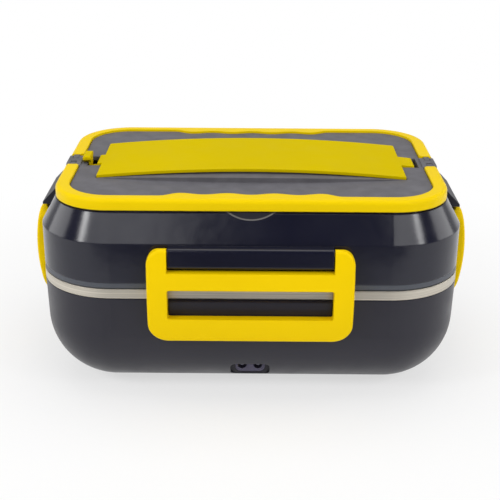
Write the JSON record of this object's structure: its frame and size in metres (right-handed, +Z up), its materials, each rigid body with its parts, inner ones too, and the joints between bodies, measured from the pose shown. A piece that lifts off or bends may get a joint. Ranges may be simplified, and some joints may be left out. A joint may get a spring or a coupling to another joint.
{
  "type": "electric lunch box",
  "caption": "Heated lunch box with a steel container, a lift-off lid held by snap latches, folding bail handles and a covered cutlery compartment in the lid.",
  "frame": {"origin": "centre of the footprint, on the surface that the feet stand on", "axes": "+X to the right along the length, -Y is the front with the power inlet, +Z up"},
  "size_m": [0.2394, 0.1714, 0.115],
  "materials": {
    "navy_shell": "satin moulded",
    "navy_gloss": "gloss moulded",
    "panel_grey": "matt moulded",
    "liner_grey": "matt moulded",
    "yellow": "semi-gloss moulded",
    "yellow_satin": "satin moulded",
    "container_steel": "drawn sheet, satin",
    "screw_steel": "zinc plated",
    "heater_aluminium": "mill finish",
    "pin_brass": "bright",
    "seal_grey": "matt silicone",
    "feet": "matt",
    "inlet_grey": "matt moulded",
    "lead_red": "insulated wire",
    "fuse_body": "ceramic"
  },
  "bodies": {
    "base": {"base_shell": "navy_shell", "rubber_feet": "feet", "base_liner": "liner_grey", "base_screws": "screw_steel", "heater_plate": "heater_aluminium", "ptc_heaters": "heater_aluminium", "heater_clamp": "screw_steel", "clamp_screws": "screw_steel", "thermostat": "screw_steel", "thermal_fuse": "fuse_body", "power_inlet": "inlet_grey", "inlet_pins": "pin_brass", "heater_leads": "lead_red"},
    "container": {"steel_container": "container_steel"},
    "lid": {"lid_shell": "navy_gloss", "lid_seal": "seal_grey", "lid_liner": "liner_grey", "lid_screws": "screw_steel", "lid_top_panel": "panel_grey", "compartment_tray": "liner_grey", "panel_screws": "screw_steel", "handle_pins": "screw_steel", "cover_pin": "screw_steel"},
    "front_latch": {"front_latch": "yellow"},
    "rear_latch": {"rear_latch": "yellow"},
    "left_latch": {"left_latch": "yellow"},
    "right_latch": {"right_latch": "yellow"},
    "front_handle": {"front_handle": "yellow", "front_hinge_tongues": "panel_grey"},
    "rear_handle": {"rear_handle": "yellow", "rear_hinge_tongues": "panel_grey"},
    "cutlery_cover": {"cutlery_cover": "yellow_satin"}
  },
  "joints": [
    {"name": "container_lift", "type": "slide", "parent": "base", "child": "container", "axis": [0, 0, 1], "range_m": [0, 0.06]},
    {"name": "lid_lift", "type": "slide", "parent": "container", "child": "lid", "axis": [0, 0, 1], "range_m": [0, 0.05]},
    {"name": "front_latch_hinge", "type": "hinge", "parent": "lid", "child": "front_latch", "pos_m": [0, -0.08095, 0.0865], "axis": [-1, 0, 0], "range_deg": [0, 110]},
    {"name": "rear_latch_hinge", "type": "hinge", "parent": "lid", "child": "rear_latch", "pos_m": [0, 0.08095, 0.0865], "axis": [1, 0, 0], "range_deg": [0, 110]},
    {"name": "left_latch_hinge", "type": "hinge", "parent": "lid", "child": "left_latch", "pos_m": [-0.11495, 0, 0.0865], "axis": [0, 1, 0], "range_deg": [0, 110]},
    {"name": "right_latch_hinge", "type": "hinge", "parent": "lid", "child": "right_latch", "pos_m": [0.11495, 0, 0.0865], "axis": [0, -1, 0], "range_deg": [0, 110]},
    {"name": "front_handle_hinge", "type": "hinge", "parent": "lid", "child": "front_handle", "pos_m": [0, -0.006, 0.10785], "axis": [-1, 0, 0], "range_deg": [0, 90]},
    {"name": "rear_handle_hinge", "type": "hinge", "parent": "lid", "child": "rear_handle", "pos_m": [0, 0.006, 0.10785], "axis": [1, 0, 0], "range_deg": [0, 90]},
    {"name": "cover_hinge", "type": "hinge", "parent": "lid", "child": "cutlery_cover", "pos_m": [0.0886, 0, 0.1074], "axis": [0, -1, 0], "range_deg": [-100, 0]}
  ]
}
